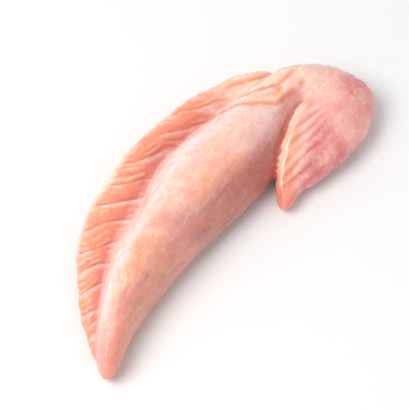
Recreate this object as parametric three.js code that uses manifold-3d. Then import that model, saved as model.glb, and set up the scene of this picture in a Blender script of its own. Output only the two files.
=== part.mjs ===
// A raw chicken wing of two joints, the forearm and the folded tip, in one skin. Millimetres, +Z up.
//
// The wing lies on its flat underside with its feathered side up. The forearm runs along +X from
// the elbow to the wrist, the tip is folded back beside it on the -Y side, and the pleated web of
// skin that carried the flight feathers stands out on the +Y side.

import * as THREE from 'three';
import { mergeVertices } from 'three/addons/utils/BufferGeometryUtils.js';
import Module from 'manifold-3d';

// The whole wing, from the elbow's end to the outermost point of the wrist. The finished shape is
// scaled to it.
const WING_LENGTH = 120;

// The forearm, at even steps from the elbow to the wrist.
const FOREARM_LENGTH = 97;
const FOREARM_MIDDLE = [-0.2, 5.5, 7.8, 7.3, 6.9, 4.2, 3.6]; // y of its middle line
const FOREARM_HALF_WIDTH = [2.8, 5.7, 8.6, 10.5, 13.7, 12.4, 7.8];
const FOREARM_MIDDLE_HEIGHT = [5.4, 6.4, 6.8, 6.8, 6.6, 6.6, 8.0];
const FOREARM_RISE = [5.2, 9.8, 12.8, 13.8, 13.6, 12.0, 8.6]; // of the flesh above the middle line
const FOREARM_DEPTH = [4.6, 6.8, 8.2, 8.2, 8.0, 8.0, 8.8]; // of the flesh below it
const ELBOW_ROUND = 5;

// The wrist turns about its crease, at even steps of angle from the forearm to the palm.
const CREASE = new THREE.Vector3(99.6, -4.4, 10.6);
const CREASE_RADIUS = 0.4;
const WRIST_FROM = 60; // degrees from +X
const WRIST_TO = -75;
const WRIST_RADIUS = [13.6, 14.4, 17.6, 22.6, 19.9];
const WRIST_OUTER_HEIGHT = [8.6, 8.4, 7.8, 6.6, 5.6];
const WRIST_RISE = [7.2, 6.8, 6.4, 6.2, 6.0];
const WRIST_DEPTH = [9.6, 9.4, 9.0, 8.2, 7.4];

// The tip, at even steps from the palm to its end.
const TIP_FROM = 97; // x
const TIP_LENGTH = 26.5;
const TIP_MIDDLE = [-14.2, -13.6, -13.2, -13.1, -15.0]; // y of its middle line
const TIP_HALF_WIDTH = [9.1, 8.0, 6.0, 3.6, 0.9];
const TIP_MIDDLE_HEIGHT = [8.6, 8.6, 7.8, 6.0, 4.0];
const TIP_TILT = [3.0, 3.6, 3.8, 2.4, 0.6]; // how far the edge beside the forearm is raised
const TIP_RISE = [5.4, 4.8, 4.0, 3.2, 2.0];
const TIP_DEPTH = [7.2, 6.4, 5.6, 4.6, 3.0];
const TIP_ROUND = 3;

// The fold of skin that fills the crease between the forearm and the tip.
const FOLD_MIDDLE = new THREE.Vector3(96.0, -5.0, 7.8);
const FOLD_REACH = new THREE.Vector3(8.0, 5.0, 5.4);

// The web of skin, at even steps from the elbow to the wrist.
const WEB_REACH = [2.2, 6.9, 11.0, 13.0, 10.9, 9.1, 10.0, 6.4, 1.0, 0.2]; // out from the flank
const WEB_EDGE_HEIGHT = [5.6, 6.6, 7.6, 8.6, 9.2, 9.6, 9.8, 9.8, 9.4, 8.4];
const WEB_ROOT = 5; // how deep it is set into the forearm
const WEB_THICKNESS = 4.8;
const WEB_FROM = 0.2; // the stations of the limb between which it runs
const WEB_TO = 7.8;
const WEB_ROUND = 0.08; // the part of its length over which each end closes
const WEB_BLUNTNESS = 0.6; // 1 would make its section an ellipse, 0 a box
const PLEATS = 19; // one for each flight feather
const PLEAT_HEIGHT = 0.8;
const PLEAT_FULLNESS = 0.7; // 1 would make the crests as round as a sine, less makes them broader
const PLEAT_SLANT = 3; // pleats that a groove crosses on its way to the forearm
const SLANT_GROWS = 0.5; // the part of the web's length over which the slant comes in from the elbow
const SLANT_FADES = 1 / 6; // the part over which it goes out again toward the wrist

// Counts of facets
const LIMB_AROUND = 28;
const LIMB_ALONG = 116;
const GATHERED = 0.06; // the part at each end where the rings of facets draw together
const WEB_AROUND = 20;
const WEB_ALONG = PLEATS * 4;
const FOLD_AROUND = 16;
const FOLD_ALONG = 12;

const SAME_POINT = 1e-4; // vertices nearer to each other than this are one
const TENSION = 0.5; // of the smooth curves

const lerp = THREE.MathUtils.lerp;

/** The value at t, from 0 to 1, of a smooth curve through evenly spaced values. */
function through(values, t) {
  const points = values.map((value) => new THREE.Vector3(value, 0, 0));
  return new THREE.CatmullRomCurve3(points, false, 'catmullrom', TENSION).getPoint(t).x;
}

/** A station across the forearm: its outer flank faces the web, and its inner one the tip. */
function forearmStation(t) {
  const x = FOREARM_LENGTH * t;
  const middle = through(FOREARM_MIDDLE, t);
  const half = through(FOREARM_HALF_WIDTH, t);
  const height = through(FOREARM_MIDDLE_HEIGHT, t);
  return {
    outer: new THREE.Vector3(x, middle + half, height),
    inner: new THREE.Vector3(x, middle - half, height),
    flesh: new THREE.Vector3(through(FOREARM_RISE, t), through(FOREARM_DEPTH, t), 0),
  };
}

/** A station from the crease of the wrist to the outside of its bend. */
function wristStation(t) {
  const angle = THREE.MathUtils.degToRad(lerp(WRIST_FROM, WRIST_TO, t));
  const radius = through(WRIST_RADIUS, t);
  const outward = new THREE.Vector3(Math.cos(angle), Math.sin(angle), 0);
  const outer = CREASE.clone().addScaledVector(outward, radius);
  outer.z = through(WRIST_OUTER_HEIGHT, t);
  return {
    outer,
    inner: CREASE.clone().addScaledVector(outward, CREASE_RADIUS),
    flesh: new THREE.Vector3(through(WRIST_RISE, t), through(WRIST_DEPTH, t), 0),
  };
}

/** A station across the folded tip: its inner edge lies beside the forearm. */
function tipStation(t) {
  const x = TIP_FROM - TIP_LENGTH * t;
  const middle = through(TIP_MIDDLE, t);
  const half = through(TIP_HALF_WIDTH, t);
  const height = through(TIP_MIDDLE_HEIGHT, t);
  const tilt = through(TIP_TILT, t);
  return {
    outer: new THREE.Vector3(x, middle - half, height - tilt),
    inner: new THREE.Vector3(x, middle + half, height + tilt),
    flesh: new THREE.Vector3(through(TIP_RISE, t), through(TIP_DEPTH, t), 0),
  };
}

/** Stations at even steps, both ends included. */
const row = (station, count) => Array.from({ length: count }, (_, i) => station(i / (count - 1)));

const stations = [
  ...row(forearmStation, FOREARM_MIDDLE.length),
  ...row(wristStation, WRIST_RADIUS.length),
  ...row(tipStation, TIP_MIDDLE.length),
];

/** A smooth curve through one of the points of every station. */
function rail(name) {
  const points = stations.map((station) => station[name]);
  return new THREE.CatmullRomCurve3(points, false, 'catmullrom', TENSION);
}
const outerRail = rail('outer');
const innerRail = rail('inner');
const fleshRail = rail('flesh');

/** The middle of the limb, along from 0 at the elbow to 1 at the end of the tip. */
function limbMiddle(along) {
  return outerRail.getPoint(along).add(innerRail.getPoint(along)).multiplyScalar(0.5);
}
const elbowEnd = limbMiddle(0);
const tipEnd = limbMiddle(1);

/** How far a rounded end has opened at a distance from its point, from 0 to 1. */
function opened(distance, round) {
  const left = 1 - Math.min(1, distance / round);
  return Math.sqrt(1 - left * left);
}

/** A point of the limb's skin, around from the outer rail over the top to the inner one. */
function limbPoint(along, around) {
  const point = limbMiddle(along);
  const across = outerRail.getPoint(along).sub(point);
  const { x: rise, y: depth } = fleshRail.getPoint(along);
  const atElbow = opened(point.distanceTo(elbowEnd), ELBOW_ROUND);
  const open = atElbow * opened(point.distanceTo(tipEnd), TIP_ROUND);
  const turn = 2 * Math.PI * around;
  const lift = Math.sin(turn) * (around < 0.5 ? rise : depth);
  point.addScaledVector(across, Math.cos(turn) * open);
  point.z = Math.max(0, point.z + lift * open);
  return point;
}

/** A point of the web's skin, around from its free edge over the top to its root. */
function webPoint(edgeAlong, around) {
  const turn = 2 * Math.PI * around;
  const share = (1 + Math.cos(turn)) / 2; // 1 at the free edge, 0 at the root
  // A pleat reaches its root further along than it starts at the edge, but not at the web's ends.
  const slant = Math.min(1, edgeAlong / SLANT_GROWS, (1 - edgeAlong) / SLANT_FADES);
  const along = edgeAlong + (slant * (1 - share) * PLEAT_SLANT) / PLEATS;
  const onRail = lerp(WEB_FROM, WEB_TO, along) / (stations.length - 1);
  const point = outerRail.getPoint(onRail);
  const outward = point.clone().sub(innerRail.getPoint(onRail)).setZ(0).normalize();
  const open = opened(Math.min(edgeAlong, 1 - edgeAlong), WEB_ROUND);
  const crest = PLEAT_HEIGHT * Math.abs(Math.sin(Math.PI * PLEATS * edgeAlong)) ** PLEAT_FULLNESS;
  const reach = (through(WEB_REACH, along) + crest / 2) * open;
  point.addScaledVector(outward, lerp(-WEB_ROOT * open, reach, share));
  point.z = lerp(point.z, through(WEB_EDGE_HEIGHT, along), share * open);
  const side = Math.abs(Math.sin(turn)) ** WEB_BLUNTNESS * (around < 0.5 ? 1 : -1);
  point.z += side * (WEB_THICKNESS / 2 + crest) * open;
  return point;
}

/** A point of the fold's skin, an egg along the crease. */
function foldPoint(along, around) {
  const turn = 2 * Math.PI * around;
  const tilt = Math.PI * along; // from its end toward the elbow to its end toward the wrist
  const radius = Math.sin(tilt);
  const point = new THREE.Vector3(-Math.cos(tilt), Math.cos(turn) * radius, Math.sin(turn) * radius);
  return point.multiply(FOLD_REACH).add(FOLD_MIDDLE);
}

/** Even steps from 0 to 1, drawn together toward both ends. */
function gathered(t) {
  if (t < GATHERED) return t ** 2 / GATHERED;
  if (t > 1 - GATHERED) return 1 - (1 - t) ** 2 / GATHERED;
  return t;
}

/** A sphere's facets drawn over another form: each vertex goes to place(along, around). */
function drawnOver(around, along, place) {
  const geometry = new THREE.SphereGeometry(1, around, along);
  const { position, uv } = geometry.attributes;
  for (let i = 0; i < position.count; i += 1) {
    const turn = (Math.round(uv.getX(i) * around) % around) / around;
    const point = place(gathered(uv.getY(i)), turn);
    position.setXYZ(i, point.x, point.y, point.z);
  }
  geometry.deleteAttribute('normal');
  geometry.deleteAttribute('uv');
  return mergeVertices(geometry, SAME_POINT);
}

const wasm = await Module();
wasm.setup();

/** A solid of the geometry, for joining. */
function solid(geometry) {
  const mesh = new wasm.Mesh({
    numProp: 3,
    vertProperties: new Float32Array(geometry.attributes.position.array),
    triVerts: new Uint32Array(geometry.index.array),
  });
  return new wasm.Manifold(mesh);
}

/** The geometry of a solid, scaled to a length along X and standing on the origin. */
function finished(joined, length) {
  const { vertProperties, triVerts } = joined.getMesh();
  const geometry = new THREE.BufferGeometry();
  geometry.setAttribute('position', new THREE.BufferAttribute(vertProperties, 3));
  geometry.setIndex(new THREE.BufferAttribute(triVerts, 1));
  geometry.computeBoundingBox();
  const { min, max } = geometry.boundingBox;
  geometry.translate(-(min.x + max.x) / 2, -(min.y + max.y) / 2, -min.z);
  const scale = length / (max.x - min.x);
  geometry.scale(scale, scale, scale);
  geometry.computeVertexNormals();
  return geometry;
}

const limb = solid(drawnOver(LIMB_AROUND, LIMB_ALONG, limbPoint));
const fold = solid(drawnOver(FOLD_AROUND, FOLD_ALONG, foldPoint));
const web = solid(drawnOver(WEB_AROUND, WEB_ALONG, webPoint));
const skin = new THREE.MeshStandardMaterial({ name: 'skin', color: 0xf0b9a6, roughness: 0.42 });
const wing = new THREE.Mesh(finished(limb.add(fold).add(web), WING_LENGTH), skin);
wing.name = 'wing';

const model = new THREE.Group();
model.add(wing);

export default model;
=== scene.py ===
"""A raw chicken wing of two joints: the forearm, with the tip folded back beside it.

The wing is modelled in millimetres from the elbow's end, with +X to the wrist, +Y to the pleated web
of skin and +Z up. Once its skin is finished, it is set into the frame, which is in metres.
"""

import math

import bmesh
import bpy
import numpy as np
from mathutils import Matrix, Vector, noise
from mathutils.kdtree import KDTree


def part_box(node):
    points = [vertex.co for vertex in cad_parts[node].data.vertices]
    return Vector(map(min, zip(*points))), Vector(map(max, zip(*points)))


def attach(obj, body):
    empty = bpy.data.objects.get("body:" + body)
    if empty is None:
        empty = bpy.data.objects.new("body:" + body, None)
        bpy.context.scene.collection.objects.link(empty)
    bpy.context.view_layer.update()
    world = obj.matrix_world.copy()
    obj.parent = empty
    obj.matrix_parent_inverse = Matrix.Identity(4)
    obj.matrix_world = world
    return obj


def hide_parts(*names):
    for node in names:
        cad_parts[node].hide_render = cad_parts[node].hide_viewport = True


# The forearm, at even steps from the elbow to the wrist.
FOREARM_LENGTH = 97
FOREARM_MIDDLE = [-0.2, 5.5, 7.8, 7.3, 6.9, 4.2, 3.6]  # y of its middle line
FOREARM_HALF_WIDTH = [2.8, 5.7, 8.6, 10.5, 13.7, 12.4, 7.8]
FOREARM_MIDDLE_HEIGHT = [5.4, 6.4, 6.8, 6.8, 6.6, 6.6, 8.0]
FOREARM_RISE = [5.2, 9.8, 12.8, 13.8, 13.6, 12.0, 8.6]  # of the flesh above the middle line
FOREARM_DEPTH = [4.6, 6.8, 8.2, 8.2, 8.0, 8.0, 8.8]  # of the flesh below it
ELBOW_ROUND = 5

# The wrist turns about its crease, at even steps of angle from the forearm to the palm.
CREASE = np.array([99.6, -4.4, 10.6])
CREASE_RADIUS = 0.4
WRIST_FROM = 60  # degrees from +X
WRIST_TO = -75
WRIST_RADIUS = [13.6, 14.4, 17.6, 22.6, 19.9]
WRIST_OUTER_HEIGHT = [8.6, 8.4, 7.8, 6.6, 5.6]
WRIST_RISE = [7.2, 6.8, 6.4, 6.2, 6.0]
WRIST_DEPTH = [9.6, 9.4, 9.0, 8.2, 7.4]

# The tip, at even steps from the palm to its end.
TIP_FROM = 97  # x
TIP_LENGTH = 26.5
TIP_MIDDLE = [-14.2, -13.6, -13.2, -13.1, -15.0]  # y of its middle line
TIP_HALF_WIDTH = [9.1, 8.0, 6.0, 3.6, 0.9]
TIP_MIDDLE_HEIGHT = [8.6, 8.6, 7.8, 6.0, 4.0]
TIP_TILT = [3.0, 3.6, 3.8, 2.4, 0.6]  # the edge beside the forearm is raised by this
TIP_RISE = [5.4, 4.8, 4.0, 3.2, 2.0]
TIP_DEPTH = [7.2, 6.4, 5.6, 4.6, 3.0]
TIP_ROUND = 3

# The fold of skin that fills the crease between the forearm and the tip.
FOLD_MIDDLE = (96.0, -5.0, 7.8)
FOLD_REACH = (8.0, 5.0, 5.4)

# Lines on the upper side, in plan, with the skin's folds, valleys and furrows along them
WRIST_FOLDS = [
    [
        (81.3, 19.4), (85.2, 15.1), (89.1, 9.4), (91.7, 4.9),
        (94.2, 1.3), (97.8, 0.1), (101.2, -1.1), (104, -3.1),
    ],
    [(90.4, 14), (94.2, 9.3), (96.9, 6.2), (100.4, 3.8), (104.8, 2.8), (108, 1.8)],
    [(91.2, 9), (93.2, 5.8), (94.6, 3.9), (96.2, 2.5), (98.6, 1.4)],
    [(93, 19), (97.2, 15.9), (100.3, 13.1), (104.5, 10.3), (109, 8.5)],
]
FLANK_VALLEY = [(86, -9), (79, -8.2), (71, -6.6), (63, -5), (54, -3.4), (45, -1.6), (36, 0)]
TIP_FURROW = [(72, -11.5), (78, -14.2), (84, -16.6), (88, -18)]
TIP_CREASE = [(102, -5.6), (97, -4.6), (90.4, -5.2), (84, -6.8), (78, -8.9)]
WRIST_PITS = [(97.7, 2.1), (103.5, -2)]

# The web of skin, at even steps from the elbow to the wrist.
WEB_REACH = [2.2, 6.9, 11.0, 13.0, 10.9, 9.1, 10.0, 6.4, 1.0, 0.2]  # out from the flank
WEB_EDGE_HEIGHT = [5.6, 6.6, 7.6, 8.6, 9.2, 9.6, 9.8, 9.8, 9.4, 8.4]
WEB_ROOT = 5  # how deep it is set into the forearm
WEB_THICKNESS = 4.8
WEB_FROM = 0.2  # the stations of the limb between which it runs
WEB_TO = 7.8
WEB_ROUND = 0.08  # the part of its length over which each end closes

# How the flesh is modelled
LIMB_RINGS = 56
LIMB_SIDES = 24
WEB_RINGS = 34
WEB_SIDES = 14
DRAWN_TO_ENDS = 0.75  # 0 would space the rings evenly
END_OPENING = 0.12  # of the first and the last ring
ROUNDING = 2  # how often the rings' skin is subdivided
FOLD_SEGMENTS = 32
FOLD_RINGS = 20
SKIN_GRAIN = 0.4  # the size of the finished skin's facets
SKIN_SMOOTHING = 0.5
SKIN_SMOOTHINGS = 10

# How closely the parts are followed, to find which of them a point of the skin is on
ARM_SAMPLES = 300
TIP_SAMPLES = 120
LIMB_TURN_SAMPLES = 64
WEB_SAMPLES = 240
WEB_TURN_SAMPLES = 40
RAIL_SAMPLES = 160
LINE_SAMPLES = 40
TIP_BORDER = (-0.3, 0.6)  # how much nearer to the tip than to the rest, from none to full
WEB_BORDER = (-0.4, 0.8)
TURNED_UP = (-0.1, 0.4)  # how far a normal points up, from none to full

# The web's pleats: a wide one for each flight feather, with small ones between them.
# What runs across the web goes from its root at 0 to its free edge at 1.
PLEAT_HEADING = -46  # degrees in plan from +X, at the free edge
PLEAT_SWEEP = 2.6  # of a pleat toward the wrist, on its way to the root
PLEAT_PITCH = 6.2
PLEAT_WANDER = 1.8  # of a pleat from its even place
PLEAT_HEIGHT = 0.75
PLEAT_LEAST = 0.5  # the height of the faintest pleats, as a share of the highest
PLEAT_LEAN = 4  # 1 would make both flanks of a pleat as steep
PLEAT_GROOVE_DEPTH = 0.35
PLEAT_GROOVE_WIDTH = 0.8
PLEATS_START = (0.15, 0.45)  # across the web, from none to full
PLEATS_BY_ELBOW = (0, 0.06)  # along the web, from none to full
PLEATS_BY_WRIST = (0.94, 0.8)
FINE_PITCH = 2.1
FINE_HEIGHT = 0.24
FINE_WANDER = 4  # radians of their wave
RIM_HEIGHT = 0.35
RIM_PLACE = (0.95, 0.1)  # middle and width, across the web
RIM_FLATTENING = 0.7  # the share of their height that the pleats lose at the edge
RIM_FLAT_WIDTH = 0.3
SCALLOP_HEIGHT = 0.3
SCALLOP_WIDTH = 0.12
ROOT_DEPTH = 0.5  # of the valley between the web and the forearm
ROOT_PLACE = (0.37, 0.13)

# The folds of the wrist. Places are to the left of a fold's line, in millimetres.
FOLD_HEIGHT = 0.6
FOLD_RISES = (-0.9, 0.9)
FOLD_FALLS = (5.5, 1)
FOLD_EDGE = (0.9, 0.8)  # middle and width
FOLD_WANDER = 0.5
FURROW_DEPTH = 0.3
FURROW_PLACE = (-0.8, 0.9)
FOLD_FADES = (0.15, 0.25)  # the shares of its line over which it starts and ends
RELAXED_ROOT = (0.35, 0.2)  # middle and width across the web, where the lowest fold meets it
RELAXED_BY_WRIST = (70, 78)  # x, from none to full
ROOT_RELAXING = 0.8
ROOT_RELAXINGS = 12

# The valley of the flank
VALLEY_DEPTH = 0.35
VALLEY_WIDTH = 2.6
VALLEY_WANDER = 0.8
VALLEY_FADES = (0.1, 0.3)

# The tip. Places are in millimetres in from its inner edge, toward its point or to the left of a line.
NOTCH_DEPTH = 0.5  # of the step in its outer side
NOTCH_STARTS = (15.5, 17.5)
NOTCH_ENDS = (26, 20)
NOTCH_IN_FROM_EDGE = (3, 8)
LIP_HEIGHT = 0.5
LIP_PLACE = (1.3, 0.9)  # middle and width
DISH_DEPTH = 0.3
DISH_PLACE = (4, 2)
CREASE_DEPTH = 0.6
CREASE_PLACE = (-0.7, 0.9)
CREASE_STARTS = (0, 0.2)  # as a share of its line
CREASE_RELAXING = 0.9
CREASE_RELAXINGS = 30
CREASE_RELAXED_WIDTH = 2
RELAXED_ABOVE = (2, 3)  # z, from none to full
PALM_STARTS = (94, 97)  # x
PALM_ENDS = (106, 99)
PALM_SIDE = (-4, -5.5)  # y
GROOVE_HEADING = -15  # degrees in plan from +X
GROOVE_PITCH = 2.5
GROOVE_WIDTH = 0.26  # as a share of the pitch
GROOVE_WANDER = 0.3
GROOVE_DEPTH = 0.55
GROOVES_IN_FROM_EDGE = (0.6, 2)
GROOVES_REACH = (13, 4)  # in from the edge at the palm, and half as fast toward the point
FURROW_SHARE = 1.2  # of a groove's depth, for the furrow by the point
FURROW_WIDTH = 0.6
FURROW_FADES = (0.15, 0.3)

# Goose bumps and small unevenness
BUMP_SPACING = 1.3
BUMP_SEED = 6
BUMP_HEIGHT = 0.18
BUMP_DOME = (0.6, 0.1)  # its foot and its top, as shares of the spacing
BUMP_LEAST = 0.4  # where the bumps are faint, as a share of their height
BUMPS_ON_FOREARM = 0.4
BUMPS_ON_WRIST = (98, 106)  # x, from none to full
BUMPS_ON_TIP = (4, 9)  # in from its inner edge
LUMP_HEIGHT = 0.16
SMALL_LUMP_HEIGHT = 0.07
WRINKLE_HEIGHT = 0.15
CROSSING_HEIGHT = 0.16
CROSSED = (66, 25)  # x, from none to full
GATHERED_HEIGHT = 0.2
GATHERED = (86, 92)

# Soft noises: the size of their lumps and the seed
PLEAT_DRIFT = (11, 1)
PLEAT_STRENGTH = (7, 2)
FOLD_DRIFT = (4, 3)
VALLEY_DRIFT = (8, 4)
GROOVE_DRIFT = (6, 5)
LUMPS = (6, 7)
SMALL_LUMPS = (2.4, 8)
PATCHES = (5, 10)
BUMP_STRENGTH = (4, 17)
FINE_DRIFT = (6, 19)
FINE_STRENGTH = (4, 23)

# The same, drawn out: the heading in plan in degrees from +X, the length, the width and the seed
BLOTCHES = (-8, 14, 7, 9)
LONG_STREAKS = (-8, 12, 2.5, 11)
HAIRLINES = (-8, 5, 0.9, 12)
GROOVE_STRENGTH = (GROOVE_HEADING, 8, 3, 15)
WRINKLES = (-8, 7, 1.4, 16)
SCALLOPS = (PLEAT_HEADING, 12, 1.3, 18)
CROSSING = (24, 5, 1.2, 20)
GATHERS = (-30, 5, 1.3, 21)
GATHERED_FAT = (-30, 6, 1.6, 22)
FLECKS = (-4, 6, 1.9, 24)

# The values of a noise between which what it governs goes from none to full
PLEATS_STRONG = (-0.4, 0.2)
FINE_STRONG = (-0.4, 0.3)
GROOVES_STRONG = (-0.6, 0.1)
BUMPS_STRONG = (-0.3, 0.3)

# How far each step of the seed moves a soft noise, and the goose bumps
NOISE_SHIFT = (17.3, 5.1, 9.7)
BUMP_SHIFT = (7.7, 3.9, 12.1)


def through(values, share):
    """Points of a smooth curve through evenly spaced values, at shares of it from 0 to 1."""
    values = np.asarray(values, float)
    before_first = 2 * values[:1] - values[1:2]
    after_last = 2 * values[-1:] - values[-2:-1]
    values = np.concatenate((before_first, values, after_last))
    place = np.clip(share, 0, 1) * (len(values) - 3)
    start = np.minimum(place.astype(int), len(values) - 4)
    t = (place - start).reshape((-1,) + (1,) * (values.ndim - 1))
    before, here, there, after = (values[start + step] for step in range(4))
    leaving = (there - before) / 2
    arriving = (after - here) / 2
    bend = 2 * (here - there) + leaving + arriving
    return here + t * (leaving + t * (3 * (there - here) - 2 * leaving - arriving + t * bend))


def forearm_stations():
    """The outer and inner sides of the forearm, and how far its flesh rises and sinks between them."""
    x = np.linspace(0, FOREARM_LENGTH, len(FOREARM_MIDDLE))
    middle = np.array(FOREARM_MIDDLE)
    half = np.array(FOREARM_HALF_WIDTH)
    outer = np.column_stack((x, middle + half, FOREARM_MIDDLE_HEIGHT))
    inner = np.column_stack((x, middle - half, FOREARM_MIDDLE_HEIGHT))
    return outer, inner, np.column_stack((FOREARM_RISE, FOREARM_DEPTH))


def wrist_stations():
    """The same for the wrist, which turns about its crease."""
    angle = np.radians(np.linspace(WRIST_FROM, WRIST_TO, len(WRIST_RADIUS)))
    outward = np.column_stack((np.cos(angle), np.sin(angle), np.zeros(len(angle))))
    outer = CREASE + outward * np.array(WRIST_RADIUS)[:, None]
    outer[:, 2] = WRIST_OUTER_HEIGHT
    return outer, CREASE + outward * CREASE_RADIUS, np.column_stack((WRIST_RISE, WRIST_DEPTH))


def tip_stations():
    """The same for the tip, whose inner side lies beside the forearm."""
    x = np.linspace(TIP_FROM, TIP_FROM - TIP_LENGTH, len(TIP_MIDDLE))
    middle = np.array(TIP_MIDDLE)
    half = np.array(TIP_HALF_WIDTH)
    height = np.array(TIP_MIDDLE_HEIGHT)
    tilt = np.array(TIP_TILT)
    outer = np.column_stack((x, middle - half, height - tilt))
    inner = np.column_stack((x, middle + half, height + tilt))
    return outer, inner, np.column_stack((TIP_RISE, TIP_DEPTH))


STATIONS = zip(forearm_stations(), wrist_stations(), tip_stations())
OUTER, INNER, FLESH = (np.concatenate(parts) for parts in STATIONS)
STEPS = len(OUTER) - 1


def opened(distance, round_end):
    """How far a rounded end has opened at a distance from its point, from 0 to 1."""
    left = 1 - np.minimum(1, distance / round_end)
    return np.sqrt(1 - left * left)


def drawn_to_ends(count):
    """Even steps from 0 to 1, drawn together toward both ends."""
    even = np.linspace(0, 1, count)
    return even - DRAWN_TO_ENDS * np.sin(2 * np.pi * even) / (2 * np.pi)


def limb_sections(shares):
    """Sections across the limb: the middle, the reach to the outer side, the rise and the depth."""
    outer = through(OUTER, shares)
    middle = (outer + through(INNER, shares)) / 2
    ends = (through(OUTER, np.array([0, 1])) + through(INNER, np.array([0, 1]))) / 2
    at_elbow = opened(np.linalg.norm(middle - ends[0], axis=1), ELBOW_ROUND)
    at_tip = opened(np.linalg.norm(middle - ends[1], axis=1), TIP_ROUND)
    opening = np.maximum(END_OPENING, at_elbow * at_tip)[:, None]
    rise, depth = (through(FLESH, shares) * opening).T
    return list(zip(middle, (outer - middle) * opening, rise, depth))


def web_rail(shares):
    """The side of the limb that the web stands out from, and the way out from it."""
    on_limb = (WEB_FROM + (WEB_TO - WEB_FROM) * shares) / STEPS
    rail = through(OUTER, on_limb)
    outward = rail - through(INNER, on_limb)
    outward[:, 2] = 0
    return rail, outward / np.linalg.norm(outward, axis=1)[:, None]


def web_sections(shares):
    """Sections across the web, from its root in the forearm to its free edge."""
    rail, outward = web_rail(shares)
    closing = np.minimum(shares, 1 - shares)
    opening = np.maximum(END_OPENING, opened(closing, WEB_ROUND))[:, None]
    edge = rail + outward * through(WEB_REACH, shares)[:, None] * opening
    edge[:, 2] += (through(WEB_EDGE_HEIGHT, shares) - edge[:, 2]) * opening[:, 0]
    root = rail - outward * WEB_ROOT * opening
    thickness = WEB_THICKNESS / 2 * opening[:, 0]
    return list(zip((edge + root) / 2, (edge - root) / 2, thickness, thickness))


# Modelling by hand


def start_piece(name):
    """A new empty piece, in edit mode and with nothing else selected."""
    bpy.ops.object.select_all(action="DESELECT")
    piece = bpy.data.objects.new(name, bpy.data.meshes.new(name))
    bpy.context.scene.collection.objects.link(piece)
    bpy.context.view_layer.objects.active = piece
    piece.select_set(True)
    bpy.ops.object.mode_set(mode="EDIT")
    return piece


def pick(piece, chosen):
    """Selects the vertices for which chosen(index, place) is true."""
    bpy.ops.mesh.select_all(action="DESELECT")
    shape = bmesh.from_edit_mesh(piece.data)
    for index, vertex in enumerate(shape.verts):
        vertex.select = chosen(index, vertex.co)
    shape.select_flush(True)
    bmesh.update_edit_mesh(piece.data)


def add_ring(piece, first, sides, middle, across, rise, depth):
    """Adds one ring of skin, its vertices numbered from first: made upright at the origin, then set."""
    here = (0, 0, 0)
    half = np.linalg.norm(across)
    lean = math.asin(across[2] / half)
    heading = math.atan2(across[1], across[0])
    bpy.ops.mesh.primitive_circle_add(vertices=sides, radius=half, rotation=(math.pi / 2, 0, 0))
    pick(piece, lambda index, place: index >= first and place.z > 0)
    bpy.ops.transform.resize(value=(1, 1, rise / half), center_override=here)
    pick(piece, lambda index, place: index >= first and place.z < 0)
    bpy.ops.transform.resize(value=(1, 1, depth / half), center_override=here)
    pick(piece, lambda index, place: index >= first)
    bpy.ops.transform.rotate(value=lean, orient_axis="Y", center_override=here)
    bpy.ops.transform.rotate(value=-heading, orient_axis="Z", center_override=here)
    bpy.ops.transform.translate(value=tuple(middle))


def skin_over(name, sections, sides):
    """A closed skin over rings at the sections, rounded by subdivision."""
    piece = start_piece(name)
    for number, section in enumerate(sections):
        add_ring(piece, number * sides, sides, *section)
    for number in range(len(sections) - 1):
        first = number * sides
        pick(piece, lambda index, place: first <= index < first + 2 * sides)
        bpy.ops.mesh.bridge_edge_loops()
    last = (len(sections) - 1) * sides
    pick(piece, lambda index, place: index < sides)
    bpy.ops.mesh.edge_face_add()
    pick(piece, lambda index, place: index >= last)
    bpy.ops.mesh.edge_face_add()
    bpy.ops.mesh.select_all(action="SELECT")
    bpy.ops.mesh.normals_make_consistent(inside=False)
    bpy.ops.object.mode_set(mode="OBJECT")
    rounded = piece.modifiers.new("Rounded", "SUBSURF")
    rounded.levels = rounded.render_levels = ROUNDING
    bpy.ops.object.modifier_apply(modifier=rounded.name)
    return piece


def fold_of_skin(name):
    """An egg of skin that fills the crease."""
    piece = start_piece(name)
    bpy.ops.mesh.primitive_uv_sphere_add(segments=FOLD_SEGMENTS, ring_count=FOLD_RINGS, radius=1)
    bpy.ops.transform.resize(value=FOLD_REACH, center_override=(0, 0, 0))
    bpy.ops.transform.translate(value=FOLD_MIDDLE)
    bpy.ops.object.mode_set(mode="OBJECT")
    return piece


def grown_together(name, parts):
    """One closed skin over all the parts, lying flat, with soft valleys where they meet."""
    bpy.ops.object.select_all(action="DESELECT")
    for part in parts:
        part.select_set(True)
    bpy.context.view_layer.objects.active = parts[0]
    bpy.ops.object.join()
    wing = parts[0]
    wing.name = wing.data.name = name
    bpy.ops.object.mode_set(mode="EDIT")
    pick(wing, lambda index, place: place.z < 0)
    bpy.ops.transform.resize(value=(1, 1, 0), center_override=(0, 0, 0))
    bpy.ops.object.mode_set(mode="OBJECT")
    grain = wing.modifiers.new("Grain", "REMESH")
    grain.mode = "VOXEL"
    grain.voxel_size = SKIN_GRAIN
    grain.use_smooth_shade = True
    bpy.ops.object.modifier_apply(modifier=grain.name)
    soft = wing.modifiers.new("Soft", "SMOOTH")
    soft.factor = SKIN_SMOOTHING
    soft.iterations = SKIN_SMOOTHINGS
    bpy.ops.object.modifier_apply(modifier=soft.name)
    return wing


# The skin as arrays, for the work of the fingers on it


def blend_in(value, start, end):
    """From 0 at start to 1 at end, smoothly."""
    share = np.clip((value - start) / (end - start), 0, 1)
    return share * share * (3 - 2 * share)


def hump(value, middle, width):
    """A soft hump of height 1 about a middle."""
    return np.exp(-(((value - middle) / width) ** 2))


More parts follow.
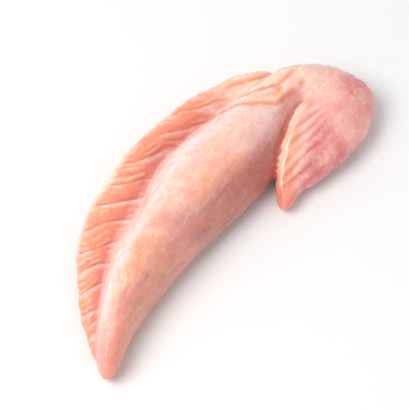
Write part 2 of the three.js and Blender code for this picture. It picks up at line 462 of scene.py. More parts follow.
def section_points(sections, sides):
    """Points all round the sections."""
    turn = np.linspace(0, 2 * np.pi, sides, endpoint=False)
    lift = np.sin(turn)
    points = []
    for middle, across, rise, depth in sections:
        ring = middle + np.outer(np.cos(turn), across)
        ring[:, 2] = np.maximum(0, ring[:, 2] + lift * np.where(lift > 0, rise, depth))
        points.append(ring)
    return np.concatenate(points)


def distance_to(places, points):
    """How far each of the points is from the nearest of the places."""
    tree = KDTree(len(places))
    for number, place in enumerate(places):
        tree.insert(place, number)
    tree.balance()
    return np.array([tree.find(point)[2] for point in points])


def beside(points, line):
    """How far along a line in plan each point lies, from 0 to 1, and how far to the left of it."""
    nearest = np.full(len(points), np.inf)
    along = np.zeros(len(points))
    left = np.zeros(len(points))
    for number in range(len(line) - 1):
        step = line[number + 1, :2] - line[number, :2]
        offset = points[:, :2] - line[number, :2]
        part = np.clip(offset @ step / (step @ step), 0, 1)
        away = offset - part[:, None] * step
        distance = np.linalg.norm(away, axis=1)
        nearer = distance < nearest
        turned = np.sign(step[0] * away[:, 1] - step[1] * away[:, 0])
        nearest = np.where(nearer, distance, nearest)
        along = np.where(nearer, (number + part) / (len(line) - 1), along)
        left = np.where(nearer, turned * distance, left)
    return along, left


def rough(points, size, seed):
    """Soft noise from -1 to 1 at the points, with lumps of that size."""
    shift = Vector([seed * step for step in NOISE_SHIFT])
    return np.array([noise.noise(Vector(point) / size + shift) for point in points])


def leftward(points, heading):
    """How far to the left of a line through the origin each point lies, for a heading in plan."""
    turn = math.radians(heading)
    return points[:, 1] * math.cos(turn) - points[:, 0] * math.sin(turn)


def streaks(points, heading, length, width, seed):
    """Soft noise from -1 to 1, drawn out along a heading in plan."""
    ahead = leftward(points, heading - 90) / length
    left = leftward(points, heading) / width
    return rough(np.column_stack((ahead, left, points[:, 2] / width)), 1, seed)


def follicles(points, spacing, seed):
    """Small round domes from 0 to 1, scattered about as far apart as the spacing."""
    shift = Vector([seed * step for step in BUMP_SHIFT])
    nearest = [noise.voronoi(Vector(point) / spacing + shift)[0][0] for point in points]
    return blend_in(np.array(nearest), *BUMP_DOME)


class Skin:
    """The wing's skin: its points and normals in millimetres, and where on the wing they are."""

    def __init__(self, mesh):
        self.mesh = mesh
        edges = np.zeros(len(mesh.edges) * 2, int)
        mesh.edges.foreach_get("vertices", edges)
        self.edges = edges.reshape(-1, 2)
        self.read()
        self.find_parts()
        self.find_places()

    def read(self):
        values = np.zeros(len(self.mesh.vertices) * 3)
        self.mesh.vertices.foreach_get("co", values)
        self.points = values.reshape(-1, 3).copy()
        self.mesh.vertices.foreach_get("normal", values)
        self.normals = values.reshape(-1, 3).copy()

    def write(self):
        self.mesh.vertices.foreach_set("co", self.points.ravel())
        self.mesh.update()
        self.read()

    def push(self, height):
        """Raises each point along its normal by that height, and leaves the belly flat."""
        self.points += self.normals * height[:, None]
        self.points[:, 2] = np.maximum(0, self.points[:, 2])
        self.write()

    def relax(self, amount, times):
        """Draws each point by that amount toward the middle of its neighbours, several times."""
        here = np.concatenate((self.edges[:, 0], self.edges[:, 1]))
        there = np.concatenate((self.edges[:, 1], self.edges[:, 0]))
        count = np.bincount(here)
        for _ in range(times):
            sums = [np.bincount(here, weights=self.points[there, axis]) for axis in range(3)]
            middle = np.column_stack(sums) / count[:, None]
            self.points += (middle - self.points) * amount[:, None]
        self.write()

    def find_parts(self):
        """How much each point belongs to the tip, to the web and to the upper side, from 0 to 1."""
        palm = (len(FOREARM_MIDDLE) + len(WRIST_RADIUS) - 1) / STEPS
        arm_sections = limb_sections(np.linspace(0, palm, ARM_SAMPLES))
        tip_sections = limb_sections(np.linspace(palm, 1, TIP_SAMPLES))
        to_arm = distance_to(section_points(arm_sections, LIMB_TURN_SAMPLES), self.points)
        to_tip = distance_to(section_points(tip_sections, LIMB_TURN_SAMPLES), self.points)
        web = section_points(web_sections(np.linspace(0, 1, WEB_SAMPLES)), WEB_TURN_SAMPLES)
        to_web = distance_to(web, self.points)
        self.tip = blend_in(to_arm - to_tip, *TIP_BORDER)
        self.web = blend_in(np.minimum(to_arm, to_tip) - to_web, *WEB_BORDER)
        self.upper = blend_in(self.normals[:, 2], *TURNED_UP)

    def find_places(self):
        """Where on the forearm, on the web and on the tip each point is."""
        x, y = self.points[:, 0], self.points[:, 1]
        # On the forearm: along from the elbow to the wrist, across from the tip's side to the web's.
        self.along = x / FOREARM_LENGTH
        middle = through(FOREARM_MIDDLE, self.along)
        self.across = (y - middle) / through(FOREARM_HALF_WIDTH, self.along)
        # On the web: along its free edge, and out from its root at 0 to its edge at 1.
        rail, _ = web_rail(np.linspace(0, 1, RAIL_SAMPLES))
        along, out = beside(self.points, rail)
        self.web_along = along
        self.web_out = np.clip((out + WEB_ROOT) / (through(WEB_REACH, along) + WEB_ROOT), 0, 1)
        # On the tip: millimetres toward its point, and in from its inner edge.
        self.to_point = TIP_FROM - x
        inner_edge = np.array(TIP_MIDDLE) + TIP_HALF_WIDTH
        self.from_edge = through(inner_edge, self.to_point / TIP_LENGTH) - y

    def limb_between(self, start, end):
        """The limb without its tip and the web, from 0 at x = start to 1 at x = end."""
        return blend_in(self.points[:, 0], start, end) * (1 - self.tip) * (1 - self.web)


def smooth_line(line):
    """The line through a few points in plan, with small steps."""
    return through(line, np.linspace(0, 1, LINE_SAMPLES))


def faded(along, first, last):
    """1 along a line, but for the shares of it over which its start and its end fade."""
    return blend_in(along, 0, first) * blend_in(along, 1, 1 - last)


def pleat(skin):
    """Pleats the web, where each flight feather stood, and gives it a rounded rim."""
    points, out = skin.points, skin.web_out
    up = leftward(points, PLEAT_HEADING) - PLEAT_SWEEP * (1 - out) ** 2
    up += PLEAT_WANDER * rough(points, *PLEAT_DRIFT)
    phase = (up / PLEAT_PITCH) % 1
    crest = np.sin(np.pi * phase**PLEAT_LEAN)
    groove = hump(np.minimum(phase, 1 - phase) * PLEAT_PITCH, 0, PLEAT_GROOVE_WIDTH)
    fine = np.sin(2 * np.pi * up / FINE_PITCH + FINE_WANDER * rough(points, *FINE_DRIFT))
    fine *= blend_in(rough(points, *FINE_STRENGTH), *FINE_STRONG)
    ends = blend_in(skin.web_along, *PLEATS_BY_ELBOW) * blend_in(skin.web_along, *PLEATS_BY_WRIST)
    fade = skin.web * blend_in(out, *PLEATS_START) * ends
    strong = blend_in(rough(points, *PLEAT_STRENGTH), *PLEATS_STRONG)
    uneven = PLEAT_LEAST + (1 - PLEAT_LEAST) * strong
    height = uneven * (1 - RIM_FLATTENING * hump(out, 1, RIM_FLAT_WIDTH))
    rim = RIM_HEIGHT * hump(out, *RIM_PLACE)
    scallops = SCALLOP_HEIGHT * streaks(points, *SCALLOPS) * hump(out, 1, SCALLOP_WIDTH)
    wide = (PLEAT_HEIGHT * crest - PLEAT_GROOVE_DEPTH * groove) * height
    relief = wide + FINE_HEIGHT * fine + rim + scallops
    root = -ROOT_DEPTH * hump(out, *ROOT_PLACE)
    skin.push(fade * relief + skin.web * ends * root)
    skin.crest = crest * uneven
    skin.shade = np.maximum(groove, (1 - phase) ** 3) * uneven
    skin.fine = fine
    skin.pleated = fade


def fold_wrist(skin):
    """Lays the folds that run from the web over the wrist, each with a furrow under its edge."""
    folds = np.zeros(len(skin.points))
    edges = np.zeros(len(skin.points))
    furrows = np.zeros(len(skin.points))
    wander = FOLD_WANDER * rough(skin.points, *FOLD_DRIFT)
    for line in WRIST_FOLDS:
        along, left = beside(skin.points, smooth_line(line))
        left += wander
        ends = faded(along, *FOLD_FADES)
        folds = np.maximum(folds, blend_in(left, *FOLD_RISES) * blend_in(left, *FOLD_FALLS) * ends)
        edges = np.maximum(edges, hump(left, *FOLD_EDGE) * ends)
        furrows = np.maximum(furrows, hump(left, *FURROW_PLACE) * ends)
    skin.folds = edges * skin.upper
    skin.furrows = furrows * skin.upper
    skin.push(FOLD_HEIGHT * folds * skin.upper - FURROW_DEPTH * skin.furrows)
    by_wrist = blend_in(skin.points[:, 0], *RELAXED_BY_WRIST)
    root = skin.web * hump(skin.web_out, *RELAXED_ROOT) * by_wrist
    skin.relax(ROOT_RELAXING * root, ROOT_RELAXINGS)


def sink_flank(skin):
    """Presses the valley between the forearm's two muscles."""
    along, left = beside(skin.points, smooth_line(FLANK_VALLEY))
    left += VALLEY_WANDER * rough(skin.points, *VALLEY_DRIFT)
    ends = faded(along, *VALLEY_FADES)
    skin.valley = hump(left, 0, VALLEY_WIDTH) * ends * skin.upper * (1 - skin.tip)
    skin.push(-VALLEY_DEPTH * skin.valley)


def notch_tip(skin):
    """Steps the outer side of the tip in, a little way before its point."""
    step = blend_in(skin.to_point, *NOTCH_STARTS) * blend_in(skin.to_point, *NOTCH_ENDS)
    outer_side = blend_in(skin.from_edge, *NOTCH_IN_FROM_EDGE)
    skin.points[:, 1] += NOTCH_DEPTH * skin.tip * step * outer_side


def crease_tip(skin):
    """Sinks the crease beside the tip, and turns up the tip's inner edge over a shallow dish."""
    x, y = skin.points[:, 0], skin.points[:, 1]
    along, left = beside(skin.points, smooth_line(TIP_CREASE))
    skin.crease = hump(left, *CREASE_PLACE) * blend_in(along, *CREASE_STARTS) * skin.upper
    palm = blend_in(x, *PALM_STARTS) * blend_in(x, *PALM_ENDS) * blend_in(y, *PALM_SIDE)
    skin.tip_top = np.maximum(skin.tip, palm) * skin.upper
    lip = hump(skin.from_edge, *LIP_PLACE) * skin.tip_top
    dish = hump(skin.from_edge, *DISH_PLACE) * skin.tip_top
    above_belly = blend_in(skin.points[:, 2], *RELAXED_ABOVE)
    beside_crease = hump(left, 0, CREASE_RELAXED_WIDTH) * above_belly
    skin.relax(CREASE_RELAXING * beside_crease, CREASE_RELAXINGS)
    skin.push(LIP_HEIGHT * lip - CREASE_DEPTH * skin.crease - DISH_DEPTH * dish)


def groove_tip(skin):
    """Draws the slanting grooves of the tip, and the furrow by its point."""
    reach = blend_in(skin.from_edge - skin.to_point / 2, *GROOVES_REACH)
    reach *= blend_in(skin.from_edge, *GROOVES_IN_FROM_EDGE)
    wander = GROOVE_WANDER * rough(skin.points, *GROOVE_DRIFT)
    phase = (leftward(skin.points, GROOVE_HEADING) / GROOVE_PITCH + wander) % 1
    strength = blend_in(streaks(skin.points, *GROOVE_STRENGTH), *GROOVES_STRONG)
    grooves = hump(phase, 0.5, GROOVE_WIDTH) * strength * reach * skin.tip_top
    along, left = beside(skin.points, smooth_line(TIP_FURROW))
    furrow = FURROW_SHARE * hump(left, 0, FURROW_WIDTH) * faded(along, *FURROW_FADES)
    skin.grooves = np.maximum(grooves, furrow * skin.tip_top)
    skin.push(-GROOVE_DEPTH * skin.grooves)


def roughen(skin):
    """Gives the skin its goose bumps and its small unevenness."""
    points, x = skin.points, skin.points[:, 0]
    strong = blend_in(rough(points, *BUMP_STRENGTH), *BUMPS_STRONG)
    uneven = BUMP_LEAST + (1 - BUMP_LEAST) * strong
    wrist = blend_in(x, *BUMPS_ON_WRIST) * (1 - skin.folds)
    on_tip = skin.tip * blend_in(skin.from_edge, *BUMPS_ON_TIP)
    on_forearm = BUMPS_ON_FOREARM * (1 - skin.tip) * (1 - skin.web)
    skin.bumpy = np.maximum(np.maximum(on_tip, wrist) * uneven, on_forearm * uneven)
    skin.bumps = follicles(points, BUMP_SPACING, BUMP_SEED)
    bumps = BUMP_HEIGHT * skin.bumps * skin.bumpy * skin.upper
    lumps = LUMP_HEIGHT * rough(points, *LUMPS) + SMALL_LUMP_HEIGHT * rough(points, *SMALL_LUMPS)
    wrinkles = WRINKLE_HEIGHT * streaks(points, *WRINKLES)
    crossing = CROSSING_HEIGHT * streaks(points, *CROSSING) * blend_in(x, *CROSSED)
    gathers = GATHERED_HEIGHT * streaks(points, *GATHERS) * blend_in(x, *GATHERED)
    gathers *= 1 - np.maximum(skin.tip, skin.web)
    skin.push(bumps + lumps + wrinkles + crossing + gathers)


def set_in_frame(skin, lowest, highest):
    """Scales the wing to the frame's length and stands it in the middle of the frame's box."""
    low, high = skin.points.min(0), skin.points.max(0)
    middle = (low + high) / 2
    middle[2] = low[2]
    stand = (np.array(lowest) + np.array(highest)) / 2
    stand[2] = lowest[2]
    scale = (highest[0] - lowest[0]) / (high[0] - low[0])
    skin.points = (skin.points - middle) * scale + stand
    skin.write()


# The skin's colours, laid one over another

CREAM = (255, 224, 204)
PALE_PINK = (251, 228, 221)
PEACH = (244, 196, 186)
FAT = (248, 202, 174)
TAN = (238, 156, 120)
SHADED_ROSE = (184, 96, 82)
FLESH_PINK = (222, 148, 146)
MAUVE = (186, 108, 106)
SALMON = (220, 134, 124)
DEEP_ORANGE = (212, 98, 76)
DEEP_SALMON = (204, 92, 82)
ORANGE_CREAM = (247, 188, 156)
WEB_ORANGE = (243, 160, 124)
PALE_EDGE = (253, 224, 198)
FURROW_SHADE = (232, 134, 98)
PIT = (232, 150, 98)
TIP_PINK = (246, 180, 172)
TIP_RED = (220, 120, 128)
END_RED = (246, 142, 126)

# Bands across the forearm, from the tip's side at -1 to the web's at 1: middle and width
BACK = (0.05, 0.45)
BELOW_BACK = (-0.1, 0.4)
SHOULDER = (-0.3, 0.4)
MIDDLE_OF_FLANK = (-0.5, 0.35)

# Slopes across the forearm, from none to full
WEB_SIDE = (0.05, 0.5)
TIP_SIDE = (0.3, -0.2)
TOWARD_BACK = (-0.5, 0.2)
FLANK_TOP = -0.15  # where the flank starts, by the elbow
FLANK_TOP_DROP = 0.15  # how much further down it starts by the wrist
FLANK_FOOT = -0.8

# Bands along the wing, in x: middle and width
LOWER_FOREARM = (30, 16)
SHADE_BESIDE_TIP = (74, 14)
LOWER_ROOT = (38, 16)
UPPER_WEB = (73, 13)

# Slopes along the wing, in x, from none to full
FOREARM_ENDS = (103, 93)
WRIST_STARTS = (86, 97)
FLANK_DROPS = (40, 70)
OFF_ELBOW = (8, 26)
UP_FOREARM = (30, 65)
TOWARD_ELBOW = (52, 30)
VALLEY_DARKENS = (40, 66)
WEB_TOP = (84, 95)
LOWER_WEB = (62, 48)
KNUCKLE = (99, 106)
WRIST_BEFORE_KNUCKLE = (105, 99)
AROUND_PALM = (116, 94)
PALM_BEGINS = (95, 98)
KNUCKLE_PINK = (102, 112)
KNUCKLE_RED = (101, 111)

# Slopes across the wrist, in y, from none to full
WRIST_WEB_SIDE = (-1.5, 2.5)
WRIST_TIP_SIDE = (0.5, -2.5)
GATHERED_SIDE = (-2, 3)
PALM_BELOW = (-3, -6)
KNUCKLE_PINK_BELOW = (2, -4)
KNUCKLE_RED_BELOW = (-7, -14)

# Slopes across the web, from its root at 0 to its edge at 1
WEB_BEYOND_LIMB = (0.2, 0.3)
WEB_TURNS_ORANGE = (0.4, 0.75)
WEB_TURNS_PALE = (0.7, 1)
WEB_EDGE = (0.86, 0.98)
WEB_INNER = (0.85, 0.45)
WEB_VALLEY = (0.45, 0.34)

# Slopes and bands on the tip, in from its inner edge or toward its point, in millimetres
TIP_BODY = (3, 11)
TIP_EDGE = (5, 1.5)
TIP_RIM = (2.2, 1)
TIP_INNER_BAND = (3.8, 2.2)  # middle and width
TIP_RIDGES = (5, 2.5)  # middle and width
PAST_PALM = (6, 12)
TIP_END = (17, 25)
BEFORE_TIP_END = (25, 17)

# Small places
MUSCLE_END = (90, 1)  # in plan: the middle of the pale end of the muscle by the wrist
MUSCLE_END_REACH = (14, 5)
ELBOW_END = (0.2, 0.02)  # along the forearm, from none to full
PIT_RADIUS = 1.2

# The values of a noise between which its lighter or darker spots go from none to full
LIGHT_SPOTS = (0, 0.4)
DARK_SPOTS = (0, -0.4)
TAN_FLECKS = (0, 0.45)
DARK_FLECKS = (-0.05, -0.5)
PALE_FLECKS = (0.1, 0.5)
HAIRLINE = (0.2, 0.7)

# The heights of a wave between which its crests or troughs go from none to full
CREST = (0.4, 0.9)
FINE_CREST = (0.1, 0.9)
FINE_TROUGH = (0.2, -1)


def linear(colour):
    """The colour as a share of light, from its sRGB value."""
    screen = np.array(colour) / 255
    return np.where(screen < 0.04045, screen / 12.92, ((screen + 0.055) / 1.055) ** 2.4)


class Coat:
    """The colour of each point of the skin."""

    def __init__(self, count, colour):
        self.colours = np.tile(linear(colour), (count, 1))

    def lay(self, colour, where, strength=1):
        """Lays a colour over the coat, where it belongs and as strongly as it should."""
        amount = np.clip(where * strength, 0, 1)[:, None]
        self.colours += (linear(colour) - self.colours) * amount


def paint_forearm(skin, coat, patches):
    """Fat along the back, pale pink by the web that is partly a painted highlight, and rose, tan and
    mauve down the flank, the rose and the mauve partly painted shade.
    """
    x, y = skin.points[:, 0], skin.points[:, 1]
    arm = skin.limb_between(*FOREARM_ENDS)
    blotches = streaks(skin.points, *BLOTCHES)
    long_streaks = streaks(skin.points, *LONG_STREAKS)
    flecks = streaks(skin.points, *FLECKS)
    flank_top = FLANK_TOP - FLANK_TOP_DROP * blend_in(x, *FLANK_DROPS)
    flank = arm * blend_in(skin.across, flank_top, FLANK_FOOT)
    # The rose laid down the flank is partly the skin's own and partly painted shade, deepening from the
    # elbow toward the wrist.
    depth = 0.3 + 0.35 * blend_in(x, *OFF_ELBOW) + 0.35 * blend_in(x, *UP_FOREARM)
    coat.lay(FAT, arm * hump(skin.across, *BACK), 0.6 + 0.8 * patches)
    # Pale pink on the web's side: partly the skin's own, partly a painted highlight on the side that
    # faces the light.
    coat.lay(PALE_PINK, arm * blend_in(skin.across, *WEB_SIDE), 0.8 + 0.6 * long_streaks)
    coat.lay(SHADED_ROSE, flank * (0.85 + 0.4 * long_streaks), depth)
    streaky = blend_in(long_streaks, *LIGHT_SPOTS)
    coat.lay(FAT, arm * hump(skin.across, *SHOULDER) * streaky, 0.6)
    light = blend_in(blotches, *LIGHT_SPOTS)
    coat.lay(TAN, arm * hump(skin.across, *MIDDLE_OF_FLANK) * light, 0.6)
    below_back = hump(skin.across, *BELOW_BACK)
    coat.lay(TAN, arm * below_back * hump(x, *LOWER_FOREARM), 0.5 + 0.7 * patches)
    dark = blend_in(blotches, *DARK_SPOTS)
    coat.lay(FLESH_PINK, arm * blend_in(skin.across, *TIP_SIDE) * dark, 0.7)
    coat.lay(TAN, flank * blend_in(x, *TOWARD_ELBOW), 0.5)
    coat.lay(TAN, flank * blend_in(flecks, *TAN_FLECKS), 0.4)
    coat.lay(MAUVE, flank * blend_in(flecks, *DARK_FLECKS), 0.3)
    # Pale flecks toward the back: partly the skin's own, partly painted highlight.
    pale = blend_in(flecks, *PALE_FLECKS)
    coat.lay(PALE_PINK, arm * blend_in(skin.across, *TOWARD_BACK) * pale, 0.35)
    ahead = (x - MUSCLE_END[0]) / MUSCLE_END_REACH[0]
    aside = (y - MUSCLE_END[1]) / MUSCLE_END_REACH[1]
    coat.lay(PALE_PINK, arm * hump(np.hypot(ahead, aside), 0, 1), 0.6)
    # Mauve along the flank's valley, darker toward the wrist: partly a vein under the skin, partly
    # painted shade.
    coat.lay(MAUVE, skin.valley * blend_in(x, *VALLEY_DARKENS), 0.5 + 0.5 * long_streaks)
    # Painted shade on the flank beside the tip.
    coat.lay(SHADED_ROSE, flank * hump(x, *SHADE_BESIDE_TIP), 0.7)


def paint_web(skin, coat, patches):
    """Salmon at the root, orange further out and cream at the edge, with painted shade in its pleats'
    grooves and painted highlights on their crests.
    """
    x, out = skin.points[:, 0], skin.web_out
    beyond_limb = skin.web * blend_in(out, *WEB_BEYOND_LIMB)
    coat.lay(SALMON, beyond_limb)
    coat.lay(TAN, beyond_limb * hump(x, *LOWER_ROOT), 0.5)
    coat.lay(WEB_ORANGE, skin.web * blend_in(out, *WEB_TURNS_ORANGE))
    coat.lay(ORANGE_CREAM, skin.web * blend_in(out, *WEB_TURNS_PALE), 0.7)
    # Painted shade down each pleat, deepest in its groove, and in the troughs of the small pleats.
    coat.lay(DEEP_ORANGE, skin.pleated * skin.shade, 0.75 - 0.5 * out)
    coat.lay(DEEP_SALMON, skin.pleated * blend_in(skin.fine, *FINE_TROUGH), 0.25)
    # Painted highlights on the crests of the small pleats and of the wide ones.
    coat.lay(PALE_EDGE, skin.pleated * blend_in(skin.fine, *FINE_CREST), 0.4)
    crest_highlights = np.maximum(beyond_limb, skin.pleated) * blend_in(skin.crest, *CREST)
    coat.lay(PALE_PINK, crest_highlights, 0.6 - 0.3 * out)
    coat.lay(PALE_EDGE, skin.web * blend_in(out, *WEB_EDGE))
    coat.lay(DEEP_ORANGE, skin.web * blend_in(out, *WEB_INNER) * hump(x, *UPPER_WEB), 0.4)
    coat.lay(CREAM, skin.web * blend_in(x, *WEB_TOP), 0.7 + 0.5 * patches)
    lower_valley = blend_in(out, *WEB_VALLEY) * blend_in(x, *LOWER_WEB)
    coat.lay(PALE_PINK, skin.web * lower_valley, 0.3)


def paint_wrist(skin, coat):
    """Cream with gathered streaks of fat and two darker pits, orange in the furrows that is partly
    painted shade, and painted highlights along the folds' edges.
    """
    x, y = skin.points[:, 0], skin.points[:, 1]
    wrist = skin.limb_between(*WRIST_STARTS)
    gathered = blend_in(streaks(skin.points, *GATHERED_FAT), *LIGHT_SPOTS)
    top = np.maximum(blend_in(y, *WRIST_WEB_SIDE), blend_in(x, *KNUCKLE))
    tip_side = blend_in(y, *WRIST_TIP_SIDE) * blend_in(x, *WRIST_BEFORE_KNUCKLE)
    coat.lay(CREAM, wrist * top, 0.9)
    coat.lay(FLESH_PINK, wrist * tip_side, 0.45)
    coat.lay(ORANGE_CREAM, wrist * blend_in(y, *GATHERED_SIDE) * gathered, 0.8)
    # Orange in the furrows under the folds' edges, partly the skin's own and partly painted shade;
    # painted highlights along the edges.
    coat.lay(FURROW_SHADE, skin.furrows, 0.75)
    coat.lay(PALE_EDGE, skin.folds, 0.5)
    for pit in WRIST_PITS:
        near = hump(np.hypot(x - pit[0], y - pit[1]), 0, PIT_RADIUS)
        coat.lay(PIT, near * skin.upper, 0.8)


def paint_tip(skin, coat, patches):
    """Pink to red over the knuckle and the palm, with orange edges and a pale rim, painted shade in the
    grooves and in the crease beside the tip, and painted highlights between the grooves.
    """
    x, y = skin.points[:, 0], skin.points[:, 1]
    edge, to_point = skin.from_edge, skin.to_point
    wrist = skin.limb_between(*WRIST_STARTS)
    below_wrist = blend_in(x, *PALM_BEGINS) * blend_in(y, *PALM_BELOW)
    palm = np.maximum(skin.tip, below_wrist) * blend_in(x, *AROUND_PALM)
    coat.lay(TIP_PINK, palm, 0.8)
    coat.lay(TIP_RED, palm * blend_in(edge, *TIP_BODY), 0.45 + 0.8 * patches)
    pink_knuckle = blend_in(x, *KNUCKLE_PINK) * blend_in(y, *KNUCKLE_PINK_BELOW)
    coat.lay(TIP_PINK, wrist * pink_knuckle, 0.6)
    red_knuckle = blend_in(y, *KNUCKLE_RED_BELOW) * blend_in(x, *KNUCKLE_RED)
    coat.lay(TIP_RED, wrist * red_knuckle, 0.65 + 0.5 * patches)
    coat.lay(ORANGE_CREAM, skin.tip * blend_in(edge, *TIP_EDGE), 0.8)
    coat.lay(TAN, skin.tip * hump(edge, *TIP_INNER_BAND) * blend_in(to_point, *PAST_PALM))
    # Painted shade in the grooves, and painted highlights on the ridges between them.
    coat.lay(DEEP_SALMON, skin.grooves, 0.38)
    coat.lay(PALE_PINK, skin.tip * hump(edge, *TIP_RIDGES) * (1 - skin.grooves), 0.35)
    coat.lay(END_RED, skin.tip * blend_in(to_point, *TIP_END), 0.8)
    # Painted shade in the crease beside the tip.
    coat.lay(DEEP_SALMON, skin.crease * (1 - skin.tip) ** 2, 0.7)
    rim = np.minimum(1, 2.5 * skin.tip) * blend_in(edge, *TIP_RIM)
    coat.lay(PALE_EDGE, rim * blend_in(to_point, *BEFORE_TIP_END) * skin.upper, 0.95)


def painted(skin):
    """The colour of each point of the skin."""
    coat = Coat(len(skin.points), PEACH)
    patches = rough(skin.points, *PATCHES)
    paint_forearm(skin, coat, patches)
    paint_web(skin, coat, patches)
    paint_wrist(skin, coat)
    paint_tip(skin, coat, patches)
    elbow = skin.limb_between(*FOREARM_ENDS) * blend_in(skin.along, *ELBOW_END)
    hairlines = blend_in(streaks(skin.points, *HAIRLINES), *HAIRLINE)
    coat.lay(END_RED, elbow, 0.7)
    # Paler tops of the goose bumps: partly the follicles' own colour, partly painted highlight.
    coat.lay(PALE_PINK, skin.bumpy * skin.bumps, 0.32)
    coat.lay(DEEP_SALMON, hairlines, 0.12)
    return coat.colours


def carry_colour(mesh, name, colours):
    """Keeps a colour for each point of the mesh, for the finish to read."""
    layer = mesh.color_attributes.new(name, "FLOAT_COLOR", "POINT")
    opaque = np.column_stack((colours, np.ones(len(colours))))
    layer.data.foreach_set("color", opaque.ravel())


# The wet finish. Scales are of noises over metres, and spans are values of a noise.
MOTTLES = {"scale": 420, "detail": 3}
MOTTLE_SPAN = (0.42, 0.72)
MOTTLE_AMOUNT = (0, 0.6)
MOTTLE_TINT = (1, 0.72, 0.66)
VEINS = {"scale": 1300, "detail": 2}
VEIN_SPAN = (0.5, 0.75)
VEIN_AMOUNT = (0, 0.4)
VEIN_TINT = (0.95, 0.6, 0.58)
WETNESS = {"scale": 700, "detail": 3}
WETNESS_SPAN = (0.3, 0.7)
ROUGHNESS = (0.26, 0.5)
GRAIN = {"scale": 2600, "detail": 4}
PORE_SCALE = 1100
PORE_SPAN = (0, 0.6)  # the distance from a pore's middle
PORE_HEIGHT = (0.6, 0)
BUMP_EFFECT = 0.6
BUMP_DISTANCE = 0.0002
SUBSURFACE = 0.4
SUBSURFACE_RADIUS = (1, 0.4, 0.25)
SUBSURFACE_SCALE = 0.003
COAT = 0.6
COAT_ROUGHNESS = 0.14


def raw_skin(name):
    """Wet raw skin over fat and flesh: mottled, softly translucent and glossy."""
    material = bpy.data.materials.new(name)
    material.use_nodes = True
    nodes = material.node_tree.nodes
    link = material.node_tree.links.new
    finish = nodes["Principled BSDF"]
    place = nodes.new("ShaderNodeTexCoord").outputs["Object"]
    colour = nodes.new("ShaderNodeAttribute")
    colour.attribute_name = "skin_colour"

    def speckle(scale, detail):
        texture = nodes.new("ShaderNodeTexNoise")
        texture.inputs["Scale"].default_value = scale
        texture.inputs["Detail"].default_value = detail
        link(place, texture.inputs["Vector"])
        return texture.outputs["Fac"]

    def ranged(value, span, to_span):
        fit = nodes.new("ShaderNodeMapRange")
        for socket, number in zip(fit.inputs[1:5], (*span, *to_span)):
            socket.default_value = number
        link(value, fit.inputs["Value"])
        return fit.outputs["Result"]

    def tinted(base, tint, amount):
        mix = nodes.new("ShaderNodeMix")
        mix.data_type = "RGBA"
        mix.blend_type = "MULTIPLY"
        link(amount, mix.inputs["Factor"])
        link(base, mix.inputs["A"])
        mix.inputs["B"].default_value = (*tint, 1)
        return mix.outputs["Result"]

    mottling = ranged(speckle(**MOTTLES), MOTTLE_SPAN, MOTTLE_AMOUNT)
    mottled = tinted(colour.outputs["Color"], MOTTLE_TINT, mottling)
    veined = tinted(mottled, VEIN_TINT, ranged(speckle(**VEINS), VEIN_SPAN, VEIN_AMOUNT))
    link(veined, finish.inputs["Base Color"])
    link(ranged(speckle(**WETNESS), WETNESS_SPAN, ROUGHNESS), finish.inputs["Roughness"])
    pores = nodes.new("ShaderNodeTexVoronoi")
    pores.inputs["Scale"].default_value = PORE_SCALE
    link(place, pores.inputs["Vector"])
    height = nodes.new("ShaderNodeMath")
    height.operation = "ADD"
    link(ranged(pores.outputs["Distance"], PORE_SPAN, PORE_HEIGHT), height.inputs[0])
    link(speckle(**GRAIN), height.inputs[1])
    bump = nodes.new("ShaderNodeBump")
    bump.inputs["Strength"].default_value = BUMP_EFFECT
    bump.inputs["Distance"].default_value = BUMP_DISTANCE
    link(height.outputs["Value"], bump.inputs["Height"])
    link(bump.outputs["Normal"], finish.inputs["Normal"])
    link(bump.outputs["Normal"], finish.inputs["Coat Normal"])
    finish.inputs["Subsurface Weight"].default_value = SUBSURFACE
    finish.inputs["Subsurface Radius"].default_value = SUBSURFACE_RADIUS
    finish.inputs["Subsurface Scale"].default_value = SUBSURFACE_SCALE
    finish.inputs["Coat Weight"].default_value = COAT
    finish.inputs["Coat Roughness"].default_value = COAT_ROUGHNESS
    return material


# The studio

VIEW_AZIMUTH = math.radians(-59.5)
VIEW_ELEVATION = math.radians(58)
VIEW_WIDTH = 0.116  # what the picture takes in at the wing
VIEW_TARGET = Vector((0, 0, 0.008))
LENS = 180
SENSOR = 36
KEY_DIRECTION = (-0.6, 0.35, 1.1)
KEY_DISTANCE = 0.7
KEY_SIZE = 0.4
KEY_POWER = 3.5
ROOM_COLOUR = (1, 1, 1, 1)
ROOM_POWER = 0.66
FLOOR_SIZE = 6
FLOOR_COLOUR = (0.85, 0.85, 0.85, 1)
FLOOR_ROUGHNESS = 0.7


def view_back():
    """The way from the wing to the camera."""
    level = math.cos(VIEW_ELEVATION)
    sideways = math.sin(VIEW_AZIMUTH) * level
    return Vector((sideways, -math.cos(VIEW_AZIMUTH) * level, math.sin(VIEW_ELEVATION)))


def add_camera():
    """A long lens, at the angle of the photograph."""
    camera = bpy.data.objects.new("camera", bpy.data.cameras.new("camera"))
    bpy.context.scene.collection.objects.link(camera)
    camera.data.lens = LENS
    camera.data.sensor_width = SENSOR
    camera.location = VIEW_TARGET + view_back() * (VIEW_WIDTH * LENS / SENSOR)
    camera.rotation_euler = view_back().to_track_quat("Z", "Y").to_euler()
    bpy.context.scene.camera = camera


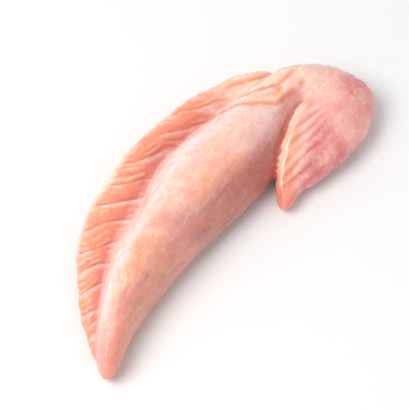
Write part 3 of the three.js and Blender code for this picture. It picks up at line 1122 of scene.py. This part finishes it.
def add_key():
    """A square soft light from the upper left of the picture, aimed at the wing."""
    light = bpy.data.objects.new("key", bpy.data.lights.new("key", "AREA"))
    bpy.context.scene.collection.objects.link(light)
    light.data.size = KEY_SIZE
    light.data.energy = KEY_POWER
    direction = Vector(KEY_DIRECTION).normalized()
    light.location = VIEW_TARGET + direction * KEY_DISTANCE
    light.rotation_euler = direction.to_track_quat("Z", "Y").to_euler()


def pale_surface(name):
    """A plain pale finish for the floor."""
    material = bpy.data.materials.new(name)
    material.use_nodes = True
    finish = material.node_tree.nodes["Principled BSDF"]
    finish.inputs["Base Color"].default_value = FLOOR_COLOUR
    finish.inputs["Roughness"].default_value = FLOOR_ROUGHNESS
    return material


def add_floor():
    """A plain pale floor under the wing."""
    bpy.ops.object.select_all(action="DESELECT")
    bpy.ops.mesh.primitive_plane_add(size=FLOOR_SIZE)
    floor = bpy.context.object
    floor.name = "floor"
    floor.data.materials.append(pale_surface("pale_floor"))


def add_room():
    """An even pale light from all round."""
    world = bpy.data.worlds.new("room")
    world.use_nodes = True
    background = world.node_tree.nodes["Background"]
    background.inputs["Color"].default_value = ROOM_COLOUR
    background.inputs["Strength"].default_value = ROOM_POWER
    bpy.context.scene.world = world
    bpy.context.scene.view_settings.view_transform = "Standard"


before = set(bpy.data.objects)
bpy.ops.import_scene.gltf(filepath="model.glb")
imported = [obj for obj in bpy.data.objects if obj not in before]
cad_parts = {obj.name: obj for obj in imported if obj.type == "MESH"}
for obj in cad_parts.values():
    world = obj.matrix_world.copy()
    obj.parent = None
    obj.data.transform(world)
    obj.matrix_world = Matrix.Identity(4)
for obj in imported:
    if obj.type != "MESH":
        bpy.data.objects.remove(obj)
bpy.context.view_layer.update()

limb = skin_over("limb", limb_sections(drawn_to_ends(LIMB_RINGS)), LIMB_SIDES)
web = skin_over("web", web_sections(drawn_to_ends(WEB_RINGS)), WEB_SIDES)
fold = fold_of_skin("fold")
wing = grown_together("raw_wing", [limb, web, fold])
skin = Skin(wing.data)
for work in (pleat, fold_wrist, sink_flank, notch_tip, crease_tip, groove_tip, roughen):
    work(skin)
carry_colour(wing.data, "skin_colour", painted(skin))
set_in_frame(skin, *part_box("wing"))
wing.data.materials.append(raw_skin("raw_skin"))
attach(wing, "root")
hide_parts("wing")

add_camera()
add_floor()
add_key()
add_room()
